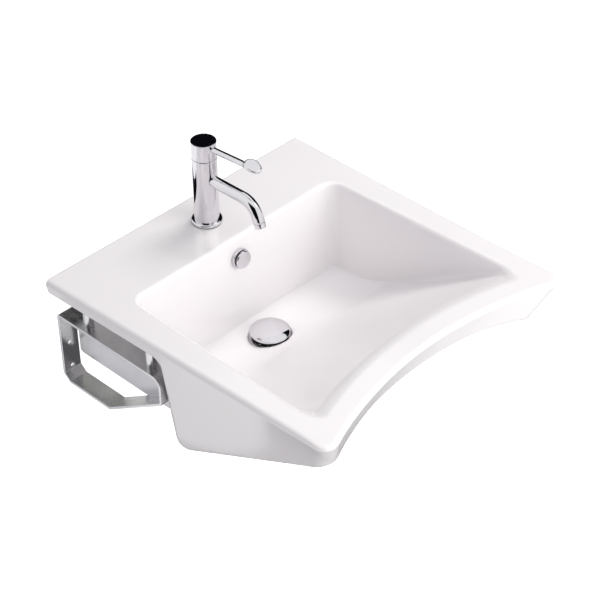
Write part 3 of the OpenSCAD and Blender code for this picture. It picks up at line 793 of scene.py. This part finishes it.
def make_finishes():
    """One material for each of the record's slots."""
    return {
        "ceramic": new_finish(
            "white glaze", (0.9, 0.875, 0.884), (0.912, 0.888, 0.896), tone_scale=5, metallic=0,
            smooth=0.08, rough=0.13, marks_scale=14, bump=0.00003, IOR=1.5),
        "chrome": new_finish(
            "polished chrome", (0.72, 0.71, 0.74), (0.75, 0.74, 0.765), tone_scale=30, metallic=1,
            smooth=0.03, rough=0.07, marks_scale=60),
        "polished_steel": new_finish(
            "polished strap steel", (0.56, 0.56, 0.57), (0.62, 0.62, 0.625), tone_scale=18, metallic=1,
            smooth=0.2, rough=0.3, marks_scale=90, bump=0.00002, stretch=(1, 0.12, 0.12)),
        "steel": new_finish(
            "zinc plate", (0.5, 0.51, 0.53), (0.58, 0.59, 0.6), tone_scale=60, metallic=1,
            smooth=0.25, rough=0.4, marks_scale=220, bump=0.00002),
        "brass": new_finish(
            "turned brass", (0.62, 0.43, 0.17), (0.7, 0.5, 0.22), tone_scale=70, metallic=1,
            smooth=0.2, rough=0.34, marks_scale=300, bump=0.00002, stretch=(1, 1, 6)),
        "copper": new_finish(
            "drawn copper", (0.62, 0.3, 0.17), (0.7, 0.36, 0.22), tone_scale=40, metallic=1,
            smooth=0.2, rough=0.36, marks_scale=120, bump=0.00001, stretch=(4, 4, 0.3)),
        "rubber": new_finish(
            "black rubber", (0.012, 0.012, 0.012), (0.022, 0.022, 0.022), tone_scale=80, metallic=0,
            smooth=0.55, rough=0.75, marks_scale=500, bump=0.00003),
        "white_plastic": new_finish(
            "white moulding", (0.78, 0.78, 0.76), (0.82, 0.82, 0.8), tone_scale=40, metallic=0,
            smooth=0.35, rough=0.5, marks_scale=400, bump=0.00002),
        "grey_plastic": new_finish(
            "grey moulding", (0.2, 0.205, 0.21), (0.25, 0.255, 0.26), tone_scale=40, metallic=0,
            smooth=0.35, rough=0.5, marks_scale=400, bump=0.00002),
    }


# The ceramic casting

def grid_line(*stops):
    """Grid values from (start, step) pairs up to a last value."""
    line = []
    for (start, step), after in zip(stops, stops[1:]):
        end = after[0] if isinstance(after, tuple) else after
        line.append(np.linspace(start, end, max(2, round((end - start) / step) + 1))[:-1])
    last = stops[-1]
    return np.append(np.concatenate(line), last)


def make_basin():
    """The casting, netted over a grid that is finer near its edges."""
    reach = HALF_WIDTH + 4
    lines = [
        grid_line((-reach, 3), (-272, 4.6), (-247, 2.4), (-224, 4.7), (224, 2.4), (247, 4.6),
                  (272, 3), reach),
        grid_line((-636, 3.4), (-510, 4.7), (-300, 4.5), (-172, 1.7), (-154, 4.2), (-12, 3), 3),
        grid_line((-262, 3.9), (-180, 1.6), (-166, 3.9), (-44, 2.6), (-12, 2.2), 3)]
    points, quads, normals = net_surface(casting, lines)
    add_piece("basin_casting", (points, quads), "ceramic", "basin", ["basin"], normals)


# The overflow, the waste and the tap

def make_overflow():
    """The thick chrome ring in the bowl's back wall and the round cover in front of it."""
    ring = rounded([(OVERFLOW_BORE_R, OVERFLOW_SEAT, 0), (OVERFLOW_R, OVERFLOW_SEAT, 0),
                    (OVERFLOW_R, 6.7, 2.6), (14.6, 6.5, 0.7), (13.2, OVERFLOW_STEP, 0.6),
                    (OVERFLOW_BORE_R, OVERFLOW_STEP, 0.3)], ring=True)
    cover = rounded([(AXIS_R, COVER_BACK, 0), (15.4, COVER_BACK, 0.6), (16.8, 11.2, 1.3),
                     (15.2, 13.3, 1.2), (AXIS_R, COVER_FRONT, 0)])
    for name, shape, node in (("overflow_trim", lathe(ring, 72, ring=True), "overflow_ring"),
                              ("overflow_disc", lathe(cover, 72), "overflow_cover")):
        points = settle(shape[0], (0, OVERFLOW_Y, OVERFLOW_Z), OVERFLOW_OUT)
        add_piece(name, (points, shape[1]), "chrome", "basin", [node])
    post = lathe([(AXIS_R, 4), (POST_R, 4), (POST_R, 9.8), (AXIS_R, 9.8)], 12)
    spots = [(POST_CIRCLE_R * math.cos(turn), POST_CIRCLE_R * math.sin(turn), 0)
             for turn in np.radians((90, 210, 330))]
    points, faces = together(*(moved(post, spot) for spot in spots))
    add_piece("overflow_posts", (settle(points, (0, OVERFLOW_Y, OVERFLOW_Z), OVERFLOW_OUT), faces),
              "chrome", "basin")


def make_plug():
    """The domed cap of the waste."""
    low = corners("plug_cap")[0][2]
    radius = corners("plug_cap")[1][0]
    dome = [((radius - 0.1) * math.cos(t), low + CAP_RIM + CAP_DOME * math.sin(t))
            for t in np.linspace(0.1, 1.56, 20)]
    rim = rounded([(radius - CAP_UNDER, low, 0), (radius - 0.3, low, 0.6), (radius, low + CAP_EDGE, 0.5)])
    profile = [(AXIS_R, low), *rim, *dome, (AXIS_R, low + CAP_RIM + CAP_DOME)]
    add_piece("waste_cap", moved(lathe(profile, 128), (0, WASTE_Y, 0)), "chrome", "plug", ["plug_cap"])


def make_tap_body():
    """The base ring and the round body up to the joint under the head."""
    ring = rounded([(TAP_R - 1, TAP_FOOT, 0), (BASE_RING_R, TAP_FOOT, 0.5),
                    (BASE_RING_R, BASE_RING_HIGH, 2.4), (TAP_R + 0.2, BASE_RING_MEET, 0)])
    ring = [*ring, (TAP_R - 1, BASE_RING_MEET)]
    add_piece("base_ring", moved(lathe(ring, 128, ring=True), (0, TAP_Y, 0)),
              "chrome", "basin", ["tap_base_ring"])
    body = rounded([(AXIS_R, TAP_FOOT, 0), (TAP_R, TAP_FOOT, 0.3), (TAP_R, JOINT_LOW, 0.7),
                    (JOINT_R, JOINT_LOW, 0.2), (JOINT_R, JOINT_HIGH, 0), (AXIS_R, JOINT_HIGH, 0)])
    add_piece("tap_column", moved(lathe(body, 128), (0, TAP_Y, 0)), "chrome", "basin", ["tap_body"])


def spout_path():
    """The middle of the spout, from inside the body to the start of the aerator ring."""
    tail = (SPOUT_Z - MOUTH_Z - SPOUT_BEND * (1 - math.cos(SPOUT_TURN))) / math.sin(SPOUT_TURN)
    start = MOUTH_Y - SPOUT_BEND * math.sin(SPOUT_TURN) - tail * math.cos(SPOUT_TURN)
    ahead = np.array((-math.cos(SPOUT_TURN), -math.sin(SPOUT_TURN)))
    straight = [(TAP_Y - s, SPOUT_Z) for s in np.linspace(SPOUT_ROOT, start - 1, 8)]
    bend = [(TAP_Y - start - SPOUT_BEND * math.sin(t), SPOUT_Z - SPOUT_BEND * (1 - math.cos(t)))
            for t in np.linspace(0, SPOUT_TURN, 22)]
    end = [np.array(bend[-1]) + ahead * s for s in np.linspace(1, tail - AERATOR_LONG, 5)]
    return np.array([*straight, *bend, *end]), ahead


def make_spout():
    """The bent spout and the aerator ring at its end."""
    path, ahead = spout_path()
    turn = np.arange(64) * 2 * math.pi / 64
    section = [(SPOUT_R * math.cos(t), SPOUT_R * math.sin(t)) for t in turn]
    add_piece("spout_pipe", sweep(path, section), "chrome", "basin", ["spout"])
    ring = rounded([(AERATOR_BORE_R, AERATOR_GAP, 0), (SPOUT_R, AERATOR_GAP, 0.5),
                    (SPOUT_R, AERATOR_LONG, 0.9), (AERATOR_BORE_R + 0.2, AERATOR_LONG, 0.6),
                    (AERATOR_BORE_R, AERATOR_LONG - 2, 0)], ring=True)
    shape = lathe(ring, 72, ring=True)
    points = settle(shape[0], (0, *path[-1]), (0, *ahead))
    add_piece("aerator_sleeve", (points, shape[1]), "chrome", "basin", ["aerator_ring"])


def make_lever():
    """The turning head, its top disc and the lever that ends in a flat spoon."""
    head = rounded([(AXIS_R, HEAD_LOW, 0), (TAP_R, HEAD_LOW, 0.6), (TAP_R, HEAD_HIGH, 0.25),
                    (AXIS_R, HEAD_HIGH, 0)])
    add_piece("head_shell", moved(lathe(head, 128), (0, TAP_Y, 0)), "chrome", "lever", ["lever_head"])
    disc = rounded([(AXIS_R, DISC_LOW, 0), (TAP_R, DISC_LOW, 0.2), (TAP_R, TAP_TOP, 0.6),
                    (AXIS_R, TAP_TOP, 0)])
    add_piece("head_disc", moved(lathe(disc, 128), (0, TAP_Y, 0)), "chrome", "lever", ["lever_cap"])
    lines = [grid_line((-15.6, 0.9), 15.6), grid_line((-208, 1), (-170, 1.6), -79),
             grid_line((145, 0.8), 175)]
    points, quads, normals = net_surface(lever, lines)
    add_piece("lever_handle", (points, quads), "chrome", "lever", ["lever_arm"], normals)


# The brackets

def strap_outline():
    """Corners of the strap's outside, counterclockwise seen from +X, as (y, z, radius)."""
    return [(0, STRAP_TOP, 5), (STRAP_FRONT, STRAP_TOP, 19), (STRAP_FRONT, STRAP_TOP - STRAP_DROP, 8),
            (STRAP_TOE, STRAP_LOW, 9), (STRAP_HEEL, STRAP_LOW, 5), (0, STRAP_LOW + STRAP_HEEL_HIGH, 7)]


def strap_middle():
    """The strap's middle line, as corners with their radii."""
    outside = strap_outline()
    line = inset([corner[:2] for corner in outside], STRAP_THICK / 2)
    return [(y, z, corner[2] - STRAP_THICK / 2 + STRAP_BEND_EASE)
            for (y, z), corner in zip(line, outside)]


def make_bracket(side, sign):
    """The strap bent to a loop, its screw holes and its web plate. Gives back the line of their weld."""
    half = STRAP_WIDE / 2
    deep = STRAP_THICK / 2
    section = rounded([(half, -deep, STRAP_EDGE_R), (half, deep, STRAP_EDGE_R),
                       (-half, deep, STRAP_EDGE_R), (-half, -deep, STRAP_EDGE_R)], 3, ring=True)
    line = rounded(strap_middle(), 8, ring=True)
    loop = moved(sweep(line, section, closed=True), (sign * BRACKET_X, 0, 0))
    strap = add_piece("strap_" + side, loop, "polished_steel", "basin", ["bracket_" + side])
    wide = SCREW_HOLE_R + STRAP_EDGE_R
    flare = [(AXIS_R, -DRILL_HALF), (wide, -DRILL_HALF), (wide, -2.9), (SCREW_HOLE_R, -2.1),
             (SCREW_HOLE_R, 2.1), (wide, 2.9), (wide, DRILL_HALF), (AXIS_R, DRILL_HALF)]
    points, faces = lathe(flare, 40)
    drill_out(strap, [(settle(points, (sign * BRACKET_X, -deep, z), (0, -1, 0)), faces)
                      for z in SCREW_HOLES])
    outer = sign * (BRACKET_X - half)
    inner = sign * (BRACKET_X - half + STRAP_THICK)
    front = STRAP_FRONT + STRAP_THICK - WEB_SINK
    top = STRAP_TOP - STRAP_THICK + WEB_SINK
    shift = STRAP_THICK * math.hypot(1, STRAP_SLOPE) - WEB_SINK
    low = STRAP_TOP - WEB_HIGH
    knee = STRAP_TOP - STRAP_DROP + STRAP_SLOPE * (front - STRAP_FRONT) + shift
    meet = STRAP_FRONT + (low - shift - STRAP_TOP + STRAP_DROP) / STRAP_SLOPE
    outline = rounded([(WEB_BACK, top, 1), (front, top, 14), (front, knee, 3), (meet, low, 1.5),
                       (WEB_BACK - 5, low, 2), (WEB_BACK, low + 5, 2)], 4, ring=True)
    add_piece("web_plate_" + side, plate(outline, min(outer, inner), max(outer, inner), WEB_EDGE),
              "polished_steel", "basin", ["web_" + side])
    return [(inner, y, z) for y, z in inset(outline, WELD_INSET)[WELDED]]


def make_beads_tree():
    """Geometry nodes that set small balls along the lines of a mesh, at an even spacing."""
    tree = bpy.data.node_groups.new("weld beads", "GeometryNodeTree")
    sockets = {}
    for label, kind in (("Line", "NodeSocketGeometry"), ("Spacing", "NodeSocketFloat"),
                        ("Radius", "NodeSocketFloat"), ("Finish", "NodeSocketMaterial")):
        sockets[label] = tree.interface.new_socket(label, in_out="INPUT", socket_type=kind)
    tree.interface.new_socket("Beads", in_out="OUTPUT", socket_type="NodeSocketGeometry")
    given = tree.nodes.new("NodeGroupInput")
    result = tree.nodes.new("NodeGroupOutput")
    curve = tree.nodes.new("GeometryNodeMeshToCurve")
    spots = tree.nodes.new("GeometryNodeCurveToPoints")
    spots.mode = "LENGTH"
    ball = tree.nodes.new("GeometryNodeMeshUVSphere")
    ball.inputs["Segments"].default_value = 8
    ball.inputs["Rings"].default_value = 5
    place = tree.nodes.new("GeometryNodeInstanceOnPoints")
    real = tree.nodes.new("GeometryNodeRealizeInstances")
    coat = tree.nodes.new("GeometryNodeSetMaterial")
    tree.links.new(given.outputs["Line"], curve.inputs[0])
    tree.links.new(curve.outputs[0], spots.inputs[0])
    tree.links.new(given.outputs["Spacing"], spots.inputs["Length"])
    tree.links.new(given.outputs["Radius"], ball.inputs["Radius"])
    tree.links.new(spots.outputs["Points"], place.inputs["Points"])
    tree.links.new(ball.outputs["Mesh"], place.inputs["Instance"])
    tree.links.new(place.outputs["Instances"], real.inputs[0])
    tree.links.new(real.outputs[0], coat.inputs["Geometry"])
    tree.links.new(given.outputs["Finish"], coat.inputs["Material"])
    tree.links.new(coat.outputs[0], result.inputs["Beads"])
    return tree, sockets


def make_beads(seams):
    """The weld between each strap and its web plate, as a row of small beads along the seam."""
    points = []
    edges = []
    for seam in seams:
        edges += [(len(points) + i, len(points) + i + 1) for i in range(len(seam) - 1)]
        points += seam
    mesh = bpy.data.meshes.new("weld_beads")
    mesh.from_pydata(in_frame(points), edges, [])
    beads = add_object("weld_beads", mesh)
    tree, sockets = make_beads_tree()
    maker = beads.modifiers.new("beads", "NODES")
    maker.node_group = tree
    maker[sockets["Spacing"].identifier] = BEAD_STEP * MM
    maker[sockets["Radius"].identifier] = BEAD_R * MM
    maker[sockets["Finish"].identifier] = FINISHES["polished_steel"]
    apply_modifier(beads, maker)
    dress(beads, "polished_steel", "basin")


def make_spacers(side, sign):
    """The two turned spacers between a bracket and the deck."""
    profile = rounded([(SPACER_BORE_R, STRAP_TOP, 0.2), (SPACER_R, STRAP_TOP, 0.7),
                       (SPACER_R, PAD_LOW, 0.7), (SPACER_BORE_R, PAD_LOW, 0.2)], 4, ring=True)
    shapes = [moved(lathe(profile, 64, ring=True), (sign * BRACKET_X, y, 0)) for y in SPACER_Y]
    add_piece("spacer_pair_" + side, together(*shapes), "polished_steel", "basin", ["spacers_" + side])


def make_pads():
    """Rubber pads between the spacers and the deck, squeezed out a little."""
    high = PAD_LOW + PAD_THICK
    profile = rounded([(SPACER_BORE_R, PAD_LOW, 0.2), (PAD_R, PAD_LOW, 0.4),
                       (PAD_BULGE_R, PAD_LOW + PAD_THICK / 2, 1.2), (PAD_R, high, 0.4),
                       (SPACER_BORE_R, high, 0.2)], 4, ring=True)
    pad = lathe(profile, 48, ring=True)
    shapes = [moved(pad, (sign * BRACKET_X, y, 0)) for sign in (-1, 1) for y in SPACER_Y]
    add_piece("squeezed_pads", together(*shapes), "rubber", "basin", ["spacer_pads"])


# Light, floor and camera

def add_camera():
    """The camera, where the photograph's camera stood."""
    turn, tilt, roll = CAMERA_TURN, CAMERA_TILT, CAMERA_ROLL
    back = Vector((math.sin(turn) * math.cos(tilt), -math.cos(turn) * math.cos(tilt), math.sin(tilt)))
    right = Vector((math.cos(turn), math.sin(turn), 0))
    up = back.cross(right)
    level = right * math.cos(roll) + up * math.sin(roll)
    upright = up * math.cos(roll) - right * math.sin(roll)
    data = bpy.data.cameras.new("camera")
    data.sensor_width = 36
    data.lens = FOCAL_PIXELS * data.sensor_width / FRAME_PIXELS
    data.shift_x = (FRAME_PIXELS / 2 - FRAME_CENTRE[0]) / FRAME_PIXELS
    data.shift_y = (FRAME_CENTRE[1] - FRAME_PIXELS / 2) / FRAME_PIXELS
    data.clip_start = 0.05
    data.clip_end = 60
    camera = add_object("camera", data)
    turned = Matrix((level, upright, back)).transposed().to_4x4()
    spot = Vector(CAMERA_SPOT) * MM + Vector((0, 0, RIM))
    camera.matrix_world = Matrix.Translation(spot) @ turned
    bpy.context.scene.camera = camera


def add_lamp(name, spot, size, watts, colour):
    """A square soft lamp that shines at the basin, from a spot in metres from the rim."""
    data = bpy.data.lights.new(name, "AREA")
    data.size = size
    data.energy = watts
    data.color = colour
    lamp = add_object(name, data)
    lamp.location = Vector(spot) + Vector((0, 0, RIM))
    away = lamp.location - (Vector(LAMP_AIM) + Vector((0, 0, RIM)))
    lamp.rotation_mode = "QUATERNION"
    lamp.rotation_quaternion = away.to_track_quat("Z", "Y")
    lamp.visible_camera = False
    lamp.visible_glossy = False


def add_card(name, corner, across, up, shade):
    """A studio card that only reflections see, from a corner, in metres from the rim, along two sides."""
    corner, across, up = (np.array(side, float) for side in (corner, across, up))
    rows = [corner, corner + across, corner + across + up, corner + up]
    mesh = bpy.data.meshes.new(name)
    mesh.from_pydata([tuple(row + (0, 0, RIM)) for row in rows], [], [(0, 1, 2, 3)])
    card = add_object(name, mesh)
    material = bpy.data.materials.new(name)
    material.use_nodes = True
    tree = material.node_tree
    tree.nodes.remove(tree.nodes["Principled BSDF"])
    glow = tree.nodes.new("ShaderNodeEmission")
    glow.inputs["Color"].default_value = (*shade, 1)
    tree.links.new(glow.outputs["Emission"], tree.nodes["Material Output"].inputs["Surface"])
    mesh.materials.append(material)
    card.visible_camera = False
    card.visible_diffuse = False
    card.visible_transmission = False
    card.visible_shadow = False


def add_math(tree, operation):
    """A node that does one sum."""
    node = tree.nodes.new("ShaderNodeMath")
    node.operation = operation
    return node


def add_world():
    """A white surround for the camera and reflections, and a plain soft light for everything else."""
    world = bpy.data.worlds.new("studio")
    world.use_nodes = True
    tree = world.node_tree
    background = tree.nodes["Background"]
    path = tree.nodes.new("ShaderNodeLightPath")
    seen = add_math(tree, "MAXIMUM")
    mirrored = add_math(tree, "MAXIMUM")
    colour = tree.nodes.new("ShaderNodeMix")
    colour.data_type = "RGBA"
    colour.inputs[6].default_value = (*AMBIENT, 1)
    colour.inputs[7].default_value = (1, 1, 1, 1)
    tree.links.new(path.outputs["Is Glossy Ray"], mirrored.inputs[0])
    tree.links.new(path.outputs["Is Transmission Ray"], mirrored.inputs[1])
    tree.links.new(path.outputs["Is Camera Ray"], seen.inputs[0])
    tree.links.new(mirrored.outputs[0], seen.inputs[1])
    tree.links.new(seen.outputs[0], colour.inputs["Factor"])
    tree.links.new(colour.outputs[2], background.inputs["Color"])
    background.inputs["Strength"].default_value = 1
    bpy.context.scene.world = world


def add_floor():
    """A pale floor under the basin, with a little glow for the camera and for reflections."""
    mesh = bpy.data.meshes.new("floor")
    low = RIM - FLOOR_DROP
    signs = ((-1, -1), (1, -1), (1, 1), (-1, 1))
    mesh.from_pydata([(x * FLOOR_REACH, y * FLOOR_REACH, low) for x, y in signs], [], [(0, 1, 2, 3)])
    floor = add_object("floor", mesh)
    material = bpy.data.materials.new("pale floor")
    material.use_nodes = True
    tree = material.node_tree
    shader = tree.nodes["Principled BSDF"]
    shader.inputs["Base Color"].default_value = (*FLOOR_TONE, 1)
    shader.inputs["Roughness"].default_value = 0.9
    shader.inputs["Specular IOR Level"].default_value = 0
    shader.inputs["Emission Color"].default_value = (1, 1, 1, 1)
    path = tree.nodes.new("ShaderNodeLightPath")
    seen = add_math(tree, "MAXIMUM")
    strength = add_math(tree, "MULTIPLY")
    strength.inputs[1].default_value = FLOOR_GLOW
    tree.links.new(path.outputs["Is Camera Ray"], seen.inputs[0])
    tree.links.new(path.outputs["Is Glossy Ray"], seen.inputs[1])
    tree.links.new(seen.outputs[0], strength.inputs[0])
    tree.links.new(strength.outputs[0], shader.inputs["Emission Strength"])
    mesh.materials.append(material)


def add_lights():
    """Four soft lamps, and the dark and light cards that the chrome and the steel mirror."""
    add_lamp("key", (1.9, 0.0, 2.5), size=1.2, watts=40, colour=(1, 0.98, 0.96))
    add_lamp("front", (0.7, -2.8, 0.8), size=2.2, watts=54, colour=(1, 1, 0.98))
    add_lamp("left", (-2.4, -2.1, 0.9), size=2.4, watts=19, colour=(1, 0.97, 1))
    add_lamp("top", (-0.2, -0.5, 3.2), size=2.4, watts=28, colour=(0.98, 1, 1))
    black = (0.004, 0.004, 0.006)
    dim = (0.12, 0.12, 0.125)
    soft_grey = (0.4, 0.4, 0.38)
    pale = (0.85, 0.85, 0.9)
    bright = (1.8, 1.8, 1.8)
    add_card("right flag", (2.2, -1.0, -0.3), (0, 3.4, 0), (0, 0, 2.7), black)
    add_card("back flag", (0.1, 2.2, -0.3), (2.1, 0, 0), (0, 0, 3.3), black)
    add_card("camera flag", (-4.24, -0.22, -1.2), (2.58, -3.69, 0), (0, 0, 4.8), black)
    add_card("tap card", (-0.33, 0.14, -0.7), (0.337, 0.195, 0), (0, 0, 0.57), black)
    add_card("low card", (-0.35, -1.6, -0.45), (1.55, 0, 0), (0, 1.8, 0), dim)
    add_card("web card", (-0.52, 0.05, -0.46), (0.22, 0, 0), (0, 0, 0.34), pale)
    add_card("strap card", (-0.3, 0.04, -0.25), (0.2, 0, 0), (0, 0, 0.2), soft_grey)
    add_card("window", (1.2, -2.1, 1.6), (0.8, 0.6, 0), (-0.3, 0.4, 0.9), bright)


# The whole scene
add_camera()
FINISHES = make_finishes()
make_basin()
make_overflow()
make_plug()
make_tap_body()
make_spout()
make_lever()
seams = []
for side, sign in (("left", -1), ("right", 1)):
    seams.append(make_bracket(side, sign))
    make_spacers(side, sign)
make_beads(seams)
make_pads()
slot_of = {part["node"]: part["material_slot"] for part in frame["record"]["subparts"]}
for node, piece in frame["nodes"].items():
    for material_slot in piece.material_slots:
        material_slot.material = FINISHES[slot_of[node]]
add_world()
add_floor()
add_lights()
bpy.context.scene.view_settings.view_transform = "Standard"
